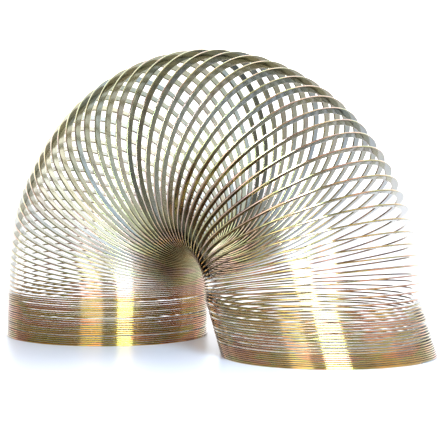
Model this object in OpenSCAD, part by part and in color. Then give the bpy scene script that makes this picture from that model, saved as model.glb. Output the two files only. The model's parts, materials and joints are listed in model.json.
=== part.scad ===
/* Spring coil toy of flat wire, bent into an arch that stands on both ends.
   The near foot is at +X, the far foot at -X, the floor is z = 0.
   The coil is wound left-handed: it climbs clockwise seen from above the near foot. */

/* [Coil] */
// Outside diameter of the coil
coil_d = 70; // [50:1:90]
// Width of the flat wire, measured along the coil's radius
wire_w = 2.5; // [1.5:0.1:3.5]
// Thickness of the flat wire, measured along the coil's axis
wire_t = 0.5; // [0.3:0.05:0.52]
// Rise of each bending turn when the coil is closed
arch_pitch = 0.6; // [0.6:0.01:0.7]
// Free gap between the wire ends of neighbouring bending turns
end_gap = 0.1; // [0.08:0.01:0.2]

/* [Arch] */
// Number of single turns that open in the arch
arch_turns = 53; // [47:2:53]
// Share of the opening at the near foot
open_near = 1.7; // [1.5:0.1:3]
// Share of the opening half way up the near side
open_near_side = 4.5; // [3:0.1:5]
// Share of the opening at the crown
open_crown = 6; // [5:0.1:8]
// Share of the opening half way down the far side
open_far_side = 3.2; // [3:0.1:5]
// Share of the opening at the far foot
open_far = 1.1; // [0.4:0.1:2]

// Unevenness of the openings from turn to turn
uneven = 0.09; // [0:0.01:0.12]

/* [Feet] */
// Closed turns standing in the near foot
near_turns = 23; // [19:2:27]
// Rise of each turn in the near foot, which stands loosely stacked
near_pitch = 0.77; // [0.7:0.01:0.85]
// How far the near foot leans towards the arch over its height
near_lean = 6.3; // [0:0.1:8]
// Closed turns standing in the far foot
far_turns = 23; // [19:2:23]
// How far the far foot leans towards the arch over its height
far_lean = 0.5; // [0:0.1:3]

/* [Finish] */
// Colour of the plated wire
wire_colour = "#C9B37A"; // ["#C9B37A", "#B9BCC2", "#D8A23C"]

/* [Hidden] */
$fn = 96;
coil_r = coil_d / 2;
gap_deg = end_gap / 2 / (coil_r - wire_w / 2) * 180 / PI;

// Openings of the hinges, one below each bending turn and one at the far foot.
// They follow the five shares smoothly and add up to half a turn.
hinges = arch_turns + 1;
shares = [open_near, open_near_side, open_crown, open_far_side, open_far];
function ease(t) = t * t * (3 - 2 * t);
function between(a, b, t) = a + (b - a) * ease(t);
function share(u) = let (j = min(floor(u), 3)) between(shares[j], shares[j + 1], u - j);
function ripple(i) = 1 + uneven * sin(137 * i);
raw = [for (i = [0:hinges - 1]) share((i + 0.5) / hinges * 4) * ripple(i)];
function total(list) = [for (i = 0, s = 0; i <= len(list); s = s + (i < len(list) ? list[i] : 0), i = i + 1) s][len(list)];
opening = [for (r = raw) r / total(raw) * 180];

// Lean angle of each turn after its hinge has opened; the last entry is the far foot.
phi = [for (i = 0, a = opening[0]; i < hinges; i = i + 1, a = a + (i < hinges ? opening[i] : 0)) a];

// Inner corner of each turn, where its hinge lies, as [x, z] with the near foot's top at x = 0.
near_h = (near_turns + 0.5) * near_pitch;
corner = [for (i = 0, p = [0, near_h]; i < hinges;
    p = p + arch_pitch * [-sin(phi[i]), cos(phi[i])], i = i + 1) p];
far_pitch = (corner[hinges - 1][1] - wire_t) / (far_turns + 0.5);

// Outermost reach along X of the two feet and of every bending turn.
near_reach = coil_d + near_lean;
far_reach = corner[hinges - 1][0] - coil_d - far_lean;
function out_x(i) = corner[i][0] + coil_d * cos(phi[i]) - (arch_pitch / 2) * sin(phi[i]);
turn_out = [for (i = [0:arch_turns - 1]) for (t = [0, wire_t]) out_x(i) - t * sin(phi[i])];
x_min = min(concat(turn_out, [far_reach]));
x_max = max(concat(turn_out, [near_reach]));
shift_x = -(x_min + x_max) / 2;

// Names of the sub-parts
function digits(i) = i < 10 ? str("0", i) : str(i);
function turn_name(i) = str("arch_turn_", digits(i));

// Section of the wire. A slim half turn is a hair smaller all round, so that its
// ends stay inside the end faces of the full half turns it is joined to.
side_step = 0.1;
face_step = 0.03;

module wire_section(slim) {
    side = slim ? side_step : 0;
    face = slim ? face_step : 0;
    translate([coil_r - wire_w + side, face])
        square([wire_w - 2 * side, wire_t - 2 * face]);
}

// Half a turn behind the wire's ends, rising from z0 at the inner corner to z1 at
// the outer edge; cut shortens its inner end, in degrees.
module back_half(z0, z1, slim = false, cut = 0) {
    translate([0, 0, z0])
        rotate([0, -asin((z1 - z0) / coil_d), 0])
            translate([coil_r, 0, 0])
                rotate_extrude(angle = 180 - cut)
                    wire_section(slim);
}

// The other half of the turn, rising from z0 at the outer edge to z1 at the inner corner.
module front_half(z0, z1, slim = false, cut = 0) {
    translate([0, 0, z1])
        rotate([0, asin((z1 - z0) / coil_d), 0])
            translate([coil_r, 0, 0])
                mirror([0, 1, 0])
                    rotate_extrude(angle = 180 - cut)
                        wire_section(slim);
}

// One bending turn, with its hinge corner at the origin
module bending_turn() {
    color(wire_colour) {
        union() {
            back_half(0, arch_pitch / 2, false, gap_deg);
            front_half(arch_pitch / 2, arch_pitch, true, gap_deg);
        }
    }
}

// Turn k of the near foot; the half turn below the first one lies flat on the floor.
function near_z(k) = k == 1 ? 0 : (k + 0.5 - 1) * near_pitch;
function near_x(k) = near_lean * (1 - (k - 1) / (near_turns - 1));

module near_turn(k) {
    back_top = k * near_pitch;
    translate([near_x(k), 0, 0]) {
        back_half(near_z(k), back_top, true);
        front_half(back_top, (k + 0.5) * near_pitch, false, k == near_turns ? gap_deg : 0);
    }
}

module near_run(first, last) {
    color(wire_colour) {
        union() {
            for (k = [first:last]) {
                near_turn(k);
            }
        }
    }
}

module near_end_turn() {
    color(wire_colour) {
        union() {
            translate([near_x(1), 0, 0]) {
                front_half(0, 0);
            }
            near_turn(1);
        }
    }
}

// Turn k of the far foot, counted down from the arch, in a frame whose z points down.
function far_x(k) = far_lean * (k - 1) / (far_turns - 1);

module far_turn(k) {
    base = (k - 1) * far_pitch;
    last = k == far_turns;
    translate([far_x(k), 0, 0]) {
        back_half(base, base + far_pitch / 2, false, k == 1 ? gap_deg : 0);
        front_half(base + far_pitch / 2, base + (last ? 1.5 : 1) * far_pitch, true);
    }
}

module far_run(first, last) {
    color(wire_colour) {
        union() {
            for (k = [first:last]) {
                far_turn(k);
            }
        }
    }
}

module far_end_turn() {
    color(wire_colour) {
        union() {
            far_turn(far_turns);
            translate([far_x(far_turns), 0, 0]) {
                back_half((far_turns + 0.5) * far_pitch, (far_turns + 0.5) * far_pitch);
            }
        }
    }
}

// Placing in the standing arch
module on_near_foot() {
    translate([shift_x, 0, 0]) {
        children();
    }
}

module on_turn(i) {
    translate([shift_x + corner[i][0], 0, corner[i][1]]) {
        rotate([0, -phi[i], 0]) {
            children();
        }
    }
}

near_split = floor((near_turns + 1) / 2);
far_split = floor((far_turns - 1) / 2);

on_near_foot() near_end_turn();
on_near_foot() near_run(2, near_split);  // near_stack_low
on_near_foot() near_run(near_split + 1, near_turns);  // near_stack_high
for (i = [1:arch_turns]) {
    on_turn(i - 1) bending_turn();
}
on_turn(arch_turns) far_run(1, far_split);  // far_stack_high
on_turn(arch_turns) far_run(far_split + 1, far_turns - 1);  // far_stack_low
on_turn(arch_turns) far_end_turn();
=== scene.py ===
"""Spring coil toy of flat wire, standing in an arch on a white table."""

import json
import math
import random

import bpy
import numpy as np
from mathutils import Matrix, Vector

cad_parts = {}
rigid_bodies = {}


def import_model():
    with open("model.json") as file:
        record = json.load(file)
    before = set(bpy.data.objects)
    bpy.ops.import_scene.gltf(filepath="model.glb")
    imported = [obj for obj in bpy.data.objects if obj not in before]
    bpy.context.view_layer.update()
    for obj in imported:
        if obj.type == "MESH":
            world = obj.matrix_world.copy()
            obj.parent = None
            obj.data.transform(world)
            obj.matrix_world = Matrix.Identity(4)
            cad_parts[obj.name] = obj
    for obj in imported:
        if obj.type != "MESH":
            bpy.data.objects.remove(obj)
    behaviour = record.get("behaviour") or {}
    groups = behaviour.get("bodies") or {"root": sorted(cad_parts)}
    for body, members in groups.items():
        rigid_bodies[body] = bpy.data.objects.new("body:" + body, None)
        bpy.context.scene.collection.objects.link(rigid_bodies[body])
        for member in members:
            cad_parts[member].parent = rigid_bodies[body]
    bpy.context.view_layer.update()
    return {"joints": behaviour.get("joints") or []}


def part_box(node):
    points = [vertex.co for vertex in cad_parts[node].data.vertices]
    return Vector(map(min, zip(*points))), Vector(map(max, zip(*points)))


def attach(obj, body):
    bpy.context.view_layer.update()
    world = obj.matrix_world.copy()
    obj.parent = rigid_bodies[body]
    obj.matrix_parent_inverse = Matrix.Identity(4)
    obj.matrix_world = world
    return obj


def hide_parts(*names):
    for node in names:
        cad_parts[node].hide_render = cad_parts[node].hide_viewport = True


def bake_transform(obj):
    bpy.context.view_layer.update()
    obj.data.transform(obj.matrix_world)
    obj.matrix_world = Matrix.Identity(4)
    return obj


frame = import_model()

# ---------------------------------------------------------------- dimensions
MM = 0.001
COIL_R = 35.0 * MM  # outside radius of the coil
WIRE_W = 2.5 * MM  # width of the flat wire, along the radius
WIRE_T = 0.48 * MM  # thickness of the flat wire, along the coil's axis
TURN_STEPS = 120  # mesh steps round one turn
EDGE_STEPS = 6  # mesh steps round each rolled edge of the wire
FLAT_STEPS = 4  # mesh steps over each flat of the wire
EDGE_FLAT = 0.6  # 1 is a fully round edge, smaller is flatter with tighter corners
TURN = 2 * math.pi
rng = random.Random(7)

# colours of the plating, by patch: (place in the noise, linear colour); the feet's and the flats'
# colours also carry painted shade
ARCH_STOPS = [
    (0.30, (0.50, 0.47, 0.24)),
    (0.40, (0.66, 0.56, 0.30)),
    (0.48, (0.52, 0.54, 0.27)),
    (0.54, (0.68, 0.50, 0.34)),
    (0.62, (0.54, 0.42, 0.36)),
    (0.72, (0.68, 0.58, 0.34)),
]
# the feet's edge colours: the plating's gold, darkened as painted shade of the feet's dark
# reflection bands and made more orange as painted light bounced between the turns
FOOT_STOPS = [
    (0.30, (0.26, 0.13, 0.01)),
    (0.40, (0.45, 0.22, 0.02)),
    (0.48, (0.32, 0.23, 0.02)),
    (0.54, (0.50, 0.19, 0.03)),
    (0.62, (0.40, 0.14, 0.05)),
    (0.72, (0.47, 0.25, 0.02)),
]
# the flats' colours: the plating's grey-olive tone, darkened as painted shade of the shaded floor
# under the arch that the flats reflect
FLAT_STOPS = [
    (0.32, (0.22, 0.25, 0.25)),
    (0.46, (0.25, 0.25, 0.18)),
    (0.56, (0.30, 0.275, 0.17)),
    (0.68, (0.26, 0.22, 0.16)),
]
# how far the edges go along the wire from the arch's colours to the feet's darker ones, from the
# near foot's cut end to the far foot's: partly a change of plating tone, partly painted shade, full
# at the feet and gone at the middle of the arch
BROWN_AND_SHADE_STOPS = [
    (0.0, 0.85),
    (0.22, 0.85),
    (0.32, 0.55),
    (0.44, 0.15),
    (0.52, 0.0),
    (0.66, 0.2),
    (0.77, 1.0),
    (1.0, 1.0),
]
EDGE_STOPS = [(0.80, (0, 0, 0)), (0.93, (1, 1, 1))]  # flat to edge, by distance from the middle
WEAR_STOPS = [(0.30, (0.86, 0.86, 0.86)), (0.70, (1, 1, 1))]  # shade of the drawing lines
PATCH_REACH, PATCH_DRIFT = 1.6, 0.16  # noise units round a turn, and from turn to turn
FLAT_REACH, FLAT_DRIFT = 1.1, 0.7
LINES_ALONG, LINES_ACROSS = 1.5, 26.0  # noise units for the drawing lines
ROUGH_LOW, ROUGH_HIGH = 0.07, 0.17
FILM_ROUGH, FILM_IOR = 0.06, 1.38  # clear film over the plating
BUMP_STRENGTH, BUMP_HEIGHT = 0.12, 0.02 * MM
MIX_A, MIX_B, MIX_RESULT = 6, 7, 2  # the colour sockets of a Mix node

# ---------------------------------------------------------------- the bend, from the frame's hinges
hinges = frame["joints"]
HINGES = len(hinges)
opening = [-math.radians(j["range_deg"][0]) for j in hinges]
corner = [np.array([j["pos_m"][0], j["pos_m"][2]]) for j in hinges]
lean = np.cumsum(opening)  # lean of the turn above each hinge
PITCH = float(np.linalg.norm(corner[1] - corner[0]))
bodies = [hinges[0]["parent"]] + [j["child"] for j in hinges]

near_lo, near_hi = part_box("near_end_turn")
far_lo, far_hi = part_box("far_end_turn")
NEAR_BASE_X = (near_lo.x + near_hi.x) / 2
FAR_BASE_X = (far_lo.x + far_hi.x) / 2
NEAR_TOP_X = corner[0][0] + COIL_R
FAR_TOP_X = corner[-1][0] - COIL_R
NEAR_TURNS = 23
FAR_TURNS = 23
NEAR_TIGHT, FAR_TIGHT = 7, 4  # tight turns at the floor
NEAR_CLOSE, FAR_CLOSE = 0.10, 0.12  # share of a touching turn's gap
NEAR_LOOSE, FAR_LOOSE = 0.36, 0.28  # share of an open turn's gap
GAP_SPREAD = (0.7, 1.3)
SIDE_TIP, BACK_TIP = 0.45, 0.35  # how far a turn may tip, as a share of the gap under it
NEAR_GROUP, FAR_GROUP = 1, 2  # touching turns in a group, at least


def ease(t):
    return t * t * (3 - 2 * t)


# ---------------------------------------------------------------- wire section
def wire_section():
    """Points round the wire's rolled section: (distance in from the outer edge, height)."""
    r = WIRE_T / 2
    edge = []
    for i in range(EDGE_STEPS + 1):
        a = -math.pi / 2 + math.pi * i / EDGE_STEPS
        inward = r * (1 - abs(math.cos(a)) ** EDGE_FLAT)
        height = r + r * math.copysign(abs(math.sin(a)) ** EDGE_FLAT, a)
        edge.append((inward, height))
    flat = [r + (WIRE_W - 2 * r) * i / FLAT_STEPS for i in range(1, FLAT_STEPS)]
    pts = edge + [(x, WIRE_T) for x in flat]
    pts += [(WIRE_W - x, z) for x, z in reversed(edge)] + [(x, 0.0) for x in reversed(flat)]
    return np.array(pts)


SECTION = wire_section()


def sweep(theta, base):
    """Rings of section points: base gives the world points for arrays of angle, radius and height
    in the section."""
    rho = COIL_R - SECTION[:, 0]
    th = np.repeat(theta, len(SECTION))
    rr = np.tile(rho, len(theta))
    hh = np.tile(SECTION[:, 1], len(theta))
    return base(th, rr, hh)


def mesh_object(name, pts, along_wire, cap_first=False, cap_last=False):
    """The skin over rings of section points, one ring for each winding angle in along_wire."""
    rings = len(along_wire)
    n = len(SECTION)
    faces = []
    for i in range(rings - 1):
        for j in range(n):
            a, b = i * n + j, i * n + (j + 1) % n
            faces.append((a, b, b + n, a + n))
    if cap_first:
        faces.append(tuple(reversed(range(n))))
    if cap_last:
        faces.append(tuple((rings - 1) * n + j for j in range(n)))
    me = bpy.data.meshes.new(name)
    me.from_pydata([tuple(p) for p in pts], [], faces)
    me.update()
    for p in me.polygons:
        p.use_smooth = len(p.vertices) == 4
    ob = bpy.data.objects.new(name, me)
    bpy.context.scene.collection.objects.link(ob)
    # winding angle along the whole wire, and place across the section, kept on the mesh
    along = me.attributes.new("along", "FLOAT", "POINT")
    across = me.attributes.new("across", "FLOAT", "POINT")
    along.data.foreach_set("value", np.repeat(along_wire, n).astype(np.float32))
    across.data.foreach_set("value", np.tile(SECTION[:, 0] / WIRE_W, rings).astype(np.float32))
    return ob


# ---------------------------------------------------------------- turns of the arch
def axes(k):
    """Outward and stacking directions, in x and z, of the body above hinge k - 1; 0 is the near
    foot."""
    a = 0.0 if k == 0 else float(lean[k - 1])
    return np.array([math.cos(a), math.sin(a)]), np.array([-math.sin(a), math.cos(a)])


def turn_start(k):
    """Inner corner where turn k starts; turn 0 is the last one of the near foot."""
    if k == 0:
        return corner[0] - axes(0)[1] * PITCH
    return corner[k - 1]


def arch_turn(k, half):
    """Half of the turn that runs from body k to body k + 1, built opened as it stands: the wire
    turns evenly about the hinge as it goes round."""
    out, up = axes(k)
    start, hinge = turn_start(k), corner[k]
    theta = np.linspace(0, math.pi, TURN_STEPS // 2 + 1) + (0 if half == "back" else math.pi)

    def base(th, rr, hh):
        x = COIL_R - rr * np.cos(th)
        z = PITCH * th / TURN + hh
        rx = start[0] + out[0] * x + up[0] * z - hinge[0]
        rz = start[1] + out[1] * x + up[1] * z - hinge[1]
        turned = opening[k] * th / TURN
        c, s = np.cos(turned), np.sin(turned)
        x_at, z_at = hinge[0] + rx * c - rz * s, hinge[1] + rx * s + rz * c
        return np.stack([x_at, rr * np.sin(th), z_at], 1)

    along_wire = (NEAR_TURNS + k) * TURN + theta
    ob = mesh_object(f"turn_{k:02d}_{half}", sweep(theta, base), along_wire)
    far_point = start + out * (4 * COIL_R - WIRE_W)
    ends = [Vector((p[0], 0, p[1])) for p in (start, far_point)]
    if half == "front":
        ends.reverse()
    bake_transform(ob)
    return ob


# ---------------------------------------------------------------- closed turns of the feet
def stack_levels(turns, top, tight, close, loose, most):
    """Heights of the wire's underside at whole turns, and how far each turn tips to the side and
    to the back: tight turns at the floor, then groups of touching turns with open gaps between."""
    gaps, loosened = [], []
    run = 0
    for i in range(turns):
        open_here = i >= tight and run >= most
        gaps.append((loose if open_here else close) * rng.uniform(*GAP_SPREAD))
        loosened.append(open_here)
        run = rng.choice((0, 0, 1)) if open_here else run + 1
    gaps = np.array(gaps)
    gaps *= (top - turns * WIRE_T) / gaps.sum()
    tips = [(0.0, 0.0)]
    for gap, open_here in zip(gaps, loosened):
        tx, ty = tips[-1]
        if open_here:
            tx = gap * rng.uniform(-SIDE_TIP, SIDE_TIP)
            ty = gap * rng.uniform(-BACK_TIP, BACK_TIP)
        tips.append((tx, ty))
    return np.concatenate([[0.0], np.cumsum(gaps + WIRE_T)]), np.array(tips)


def foot_wire(name, theta, side, z_c, x_c, tips, along_wire, **caps):
    """The wire of one foot. side is -1 where the wire starts at the left of the coil's middle."""
    rho = COIL_R - SECTION[:, 0]
    dx, dy = side * np.cos(theta), np.sin(theta)
    lift = z_c + tips[0] * dx + tips[1] * dy
    pts = np.stack(
        [
            x_c[:, None] + rho[None, :] * dx[:, None],
            rho[None, :] * dy[:, None],
            lift[:, None] + SECTION[:, 1][None, :],
        ],
        2,
    ).reshape(-1, 3)
    return mesh_object(name, pts, along_wire, **caps)


def near_foot():
    """The near foot from its cut end on the floor to the turn that bends with the arch."""
    turns = NEAR_TURNS - 1
    steps = int((turns + 0.5) * TURN_STEPS)
    u = np.linspace(-0.5, turns, steps + 1)  # turns from the inner corner; the cut end is outside
    top = corner[0][1] - PITCH
    levels, tips = stack_levels(turns, top, NEAR_TIGHT, NEAR_CLOSE, NEAR_LOOSE, NEAR_GROUP)
    tips[-1] = 0
    whole = np.arange(turns + 1)
    z_c = np.interp(u, np.concatenate([[-0.5], whole]), np.concatenate([[0.0], levels]))
    x_c = NEAR_BASE_X + (NEAR_TOP_X - NEAR_BASE_X) * np.clip(z_c / top, 0, 1)
    tips = [np.interp(u, whole, tips[:, i]) for i in (0, 1)]
    theta = u * TURN
    ob = foot_wire("near_foot_wire", theta, -1, z_c, x_c, tips, theta, cap_first=True)
    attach(ob, bodies[0])
    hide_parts("near_end_turn", "near_stack_low", "near_stack_high")
    return ob


def far_foot():
    """The far foot from the last bending turn down to its cut end on the floor."""
    turns = FAR_TURNS + 0.5
    steps = int(turns * TURN_STEPS)
    u = np.linspace(0, turns, steps + 1)
    top = corner[-1][1] - WIRE_T
    levels, tips = stack_levels(FAR_TURNS - 1, top, FAR_TIGHT, FAR_CLOSE, FAR_LOOSE, FAR_GROUP)
    levels = np.concatenate([[0.0], levels])[::-1]
    tips = np.concatenate([[(0, 0)], tips])[::-1]
    tips[0] = 0
    whole = np.concatenate([np.arange(FAR_TURNS), [turns - 0.5]])
    z_c = np.interp(u, whole, levels)
    x_c = FAR_TOP_X + (FAR_BASE_X - FAR_TOP_X) * ease(np.clip(1 - z_c / top, 0, 1))
    tips = [np.interp(u, whole, tips[:, i]) for i in (0, 1)]
    theta = u * TURN
    along_wire = (NEAR_TURNS + HINGES) * TURN + theta
    ob = foot_wire("far_foot_wire", theta, 1, z_c, x_c, tips, along_wire, cap_last=True)
    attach(ob, bodies[-1])
    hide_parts("far_end_turn", "far_stack_low", "far_stack_high")
    return ob


# ---------------------------------------------------------------- material
def wire_material():
    """Drawn and plated spring wire: grey flats, gold edges with pink and green patches that run on
    from turn to turn, fine drawing lines along the wire. The flats and the feet's edges are
    darkened with painted shade on top of their own tone."""
    mat = bpy.data.materials.new("plated_spring_wire")
    mat.use_nodes = True
    nt = mat.node_tree
    nt.nodes.clear()
    link = nt.links.new

    def attribute(name):
        n = nt.nodes.new("ShaderNodeAttribute")
        n.attribute_name = name
        return n.outputs["Fac"]

    def feed(n, values):
        for i, v in enumerate(values):
            if isinstance(v, float):
                n.inputs[i].default_value = v
            else:
                link(v, n.inputs[i])
        return n.outputs[0]

    def math_node(op, a, b=0.0):
        n = nt.nodes.new("ShaderNodeMath")
        n.operation = op
        return feed(n, (a, b))

    def vector(x, y, z):
        return feed(nt.nodes.new("ShaderNodeCombineXYZ"), (x, y, z))

    def noise(where, detail):
        n = nt.nodes.new("ShaderNodeTexNoise")
        n.inputs["Scale"].default_value = 1.0
        n.inputs["Detail"].default_value = detail
        link(where, n.inputs["Vector"])
        return n.outputs["Fac"]

    def ramp(fac, stops):
        n = nt.nodes.new("ShaderNodeValToRGB")
        el = n.color_ramp.elements
        while len(el) < len(stops):
            el.new(0.5)
        for e, (p, c) in zip(el, stops):
            e.position, e.color = p, (*c, 1)
        link(fac, n.inputs[0])
        return n.outputs[0]

    def mix(fac, a, b, blend="MIX"):
        n = nt.nodes.new("ShaderNodeMix")
        n.data_type = "RGBA"
        n.blend_type = blend
        feed(n, (fac,))
        link(a, n.inputs[MIX_A])
        link(b, n.inputs[MIX_B])
        return n.outputs[MIX_RESULT]

    along, across = attribute("along"), attribute("across")
    turn = math_node("DIVIDE", along, TURN)
    c, s = math_node("COSINE", along), math_node("SINE", along)

    def times(value, factor):
        return math_node("MULTIPLY", value, factor)

    def winding_noise(reach, drift):
        """Noise that runs on round the wire and drifts from one turn to the next."""
        return noise(vector(times(c, reach), times(s, reach), times(turn, drift)), 2.0)

    patch = winding_noise(PATCH_REACH, PATCH_DRIFT)
    flat_patch = winding_noise(FLAT_REACH, FLAT_DRIFT)
    lines = noise(vector(times(along, LINES_ALONG), times(across, LINES_ACROSS), 0.0), 3.0)

    whole_wire = float(NEAR_TURNS + HINGES + FAR_TURNS)
    # edge colours: the arch's mixed towards the feet's, with painted shade deepest at the feet
    brown_and_shade = ramp(math_node("DIVIDE", turn, whole_wire), [(p, (v, v, v)) for p, v in BROWN_AND_SHADE_STOPS])
    edge_colour = mix(brown_and_shade, ramp(patch, ARCH_STOPS), ramp(patch, FOOT_STOPS))
    # flat colours, darkened with painted shade of the floor they reflect
    flat_colour = ramp(flat_patch, FLAT_STOPS)
    from_middle = times(math_node("ABSOLUTE", math_node("SUBTRACT", across, 0.5)), 2.0)
    colour = mix(ramp(from_middle, EDGE_STOPS), flat_colour, edge_colour)
    worn = mix(1.0, colour, ramp(lines, WEAR_STOPS), "MULTIPLY")

    bsdf = nt.nodes.new("ShaderNodeBsdfPrincipled")
    bsdf.inputs["Metallic"].default_value = 1.0
    bsdf.inputs["Coat Weight"].default_value = 1.0
    bsdf.inputs["Coat Roughness"].default_value = FILM_ROUGH
    bsdf.inputs["Coat IOR"].default_value = FILM_IOR
    link(worn, bsdf.inputs["Base Color"])
    rough = nt.nodes.new("ShaderNodeMapRange")
    rough.inputs["To Min"].default_value = ROUGH_LOW
    rough.inputs["To Max"].default_value = ROUGH_HIGH
    link(lines, rough.inputs["Value"])
    link(rough.outputs[0], bsdf.inputs["Roughness"])
    bump = nt.nodes.new("ShaderNodeBump")
    bump.inputs["Strength"].default_value = BUMP_STRENGTH
    bump.inputs["Distance"].default_value = BUMP_HEIGHT
    link(lines, bump.inputs["Height"])
    link(bump.outputs[0], bsdf.inputs["Normal"])
    out = nt.nodes.new("ShaderNodeOutputMaterial")
    link(bsdf.outputs[0], out.inputs[0])
    return mat


# ---------------------------------------------------------------- build
wire = wire_material()
pieces = []
for k in range(HINGES):
    for half in ("back", "front"):
        ob = arch_turn(k, half)
        if k > 0:
            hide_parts(f"arch_turn_{k:02d}")
        pieces.append(ob)
pieces += [near_foot(), far_foot()]
for ob in pieces:
    ob.data.materials.append(wire)


# ---------------------------------------------------------------- floor, lights, camera
def plain(name, colour, rough, glow=0.0):
    m = bpy.data.materials.new(name)
    m.use_nodes = True
    b = m.node_tree.nodes["Principled BSDF"]
    b.inputs["Base Color"].default_value = (*colour, 1)
    b.inputs["Roughness"].default_value = rough
    if glow:
        b.inputs["Emission Color"].default_value = (*colour, 1)
        b.inputs["Emission Strength"].default_value = glow
    return m


CAM_AZ = math.radians(37.14)
CAM_DIST = 0.6832
CAM_H = 0.0878
CAM_LENS = 164.6
AIM_SIDE, AIM_H = 0.0034, 0.0403
right = Vector((math.cos(CAM_AZ), math.sin(CAM_AZ), 0))
back = Vector((math.sin(CAM_AZ), -math.cos(CAM_AZ), 0))  # from the object towards the camera


def place(side, toward, height):
    """A point given from the camera's side: to the right, towards the camera, and up."""
    return right * side + back * toward + Vector((0, 0, height))


def sheet(name, at, size, rotation, material):
    bpy.ops.mesh.primitive_plane_add(size=1.0, location=at)
    ob = bpy.context.object
    ob.name = name
    ob.scale = (*size, 1)
    ob.rotation_euler = rotation
    ob.data.materials.append(material)
    return ob


floor_white = plain("floor_white", (0.75, 0.725, 0.725), 0.30)
backdrop_white = plain("backdrop_white", (1, 1, 1), 0.9, 1.1)
wing_grey = plain("wing_grey", (0.88, 0.95, 1.0), 0.9, 0.8)
UPRIGHT = math.pi / 2
floor = sheet("floor", (0, 0, 0), (8.0, 8.0), (0, 0, 0), floor_white)
backdrop = sheet("backdrop", place(0, -1.0, 0.9), (3.2, 2.0), (UPRIGHT, 0, CAM_AZ), backdrop_white)
wing_turn = (UPRIGHT, 0, CAM_AZ + math.pi / 2)
wing = sheet("wing", place(1.5, -0.45, 1.15), (1.9, 1.7), wing_turn, wing_grey)

world = bpy.data.worlds.new("studio")
bpy.context.scene.world = world
world.use_nodes = True
bg = world.node_tree.nodes["Background"]
bg.inputs["Color"].default_value = (0.86, 0.92, 1.0, 1)
bg.inputs["Strength"].default_value = 0.36


def area(name, at, rotation, size_x, size_y, power, colour):
    data = bpy.data.lights.new(name, "AREA")
    data.shape = "RECTANGLE"
    data.size, data.size_y = size_x, size_y
    data.energy = power
    data.color = colour
    ob = bpy.data.objects.new(name, data)
    bpy.context.scene.collection.objects.link(ob)
    ob.location = at
    ob.rotation_euler = rotation


def looking(at, aim):
    return (aim - at).to_track_quat("-Z", "Y").to_euler()


def card(name, side_from, side_to, toward, high, glow, colour):
    """An upright glowing card on the floor, on the camera's side of the object and facing it."""
    width = side_to - side_from
    middle = (side_from + side_to) / 2
    at = place(middle, toward, high / 2)
    facing = looking(at, place(middle, 0, high / 2))
    area(name, at, facing, width, high, glow * math.pi * width * high, colour)


cam_data = bpy.data.cameras.new("camera")
cam_data.lens = CAM_LENS
cam_data.sensor_width = 36
cam_data.clip_start = 0.01
cam = bpy.data.objects.new("camera", cam_data)
bpy.context.scene.collection.objects.link(cam)
cam.location = back * CAM_DIST + Vector((0, 0, CAM_H))
cam.rotation_euler = looking(cam.location, place(AIM_SIDE, 0, AIM_H))
bpy.context.scene.camera = cam

KEY_TILT = math.radians(-26)
key_at = place(-0.1, -0.40, 0.75)
area("key", key_at, (KEY_TILT, 0, CAM_AZ), 1.2, 0.6, 3.2, (0.98, 0.99, 1.0))
card("card_right", 0.021, 0.098, 0.21, 0.26, 30.0, (0.58, 0.76, 1.0))
card("card_left", -0.205, -0.055, 0.297, 0.35, 4.8, (0.9, 0.98, 1.1))
card("card_side", 0.20, 0.85, 0.20, 0.40, 1.3, (1.0, 0.82, 0.72))

bpy.context.scene.view_settings.view_transform = "Standard"
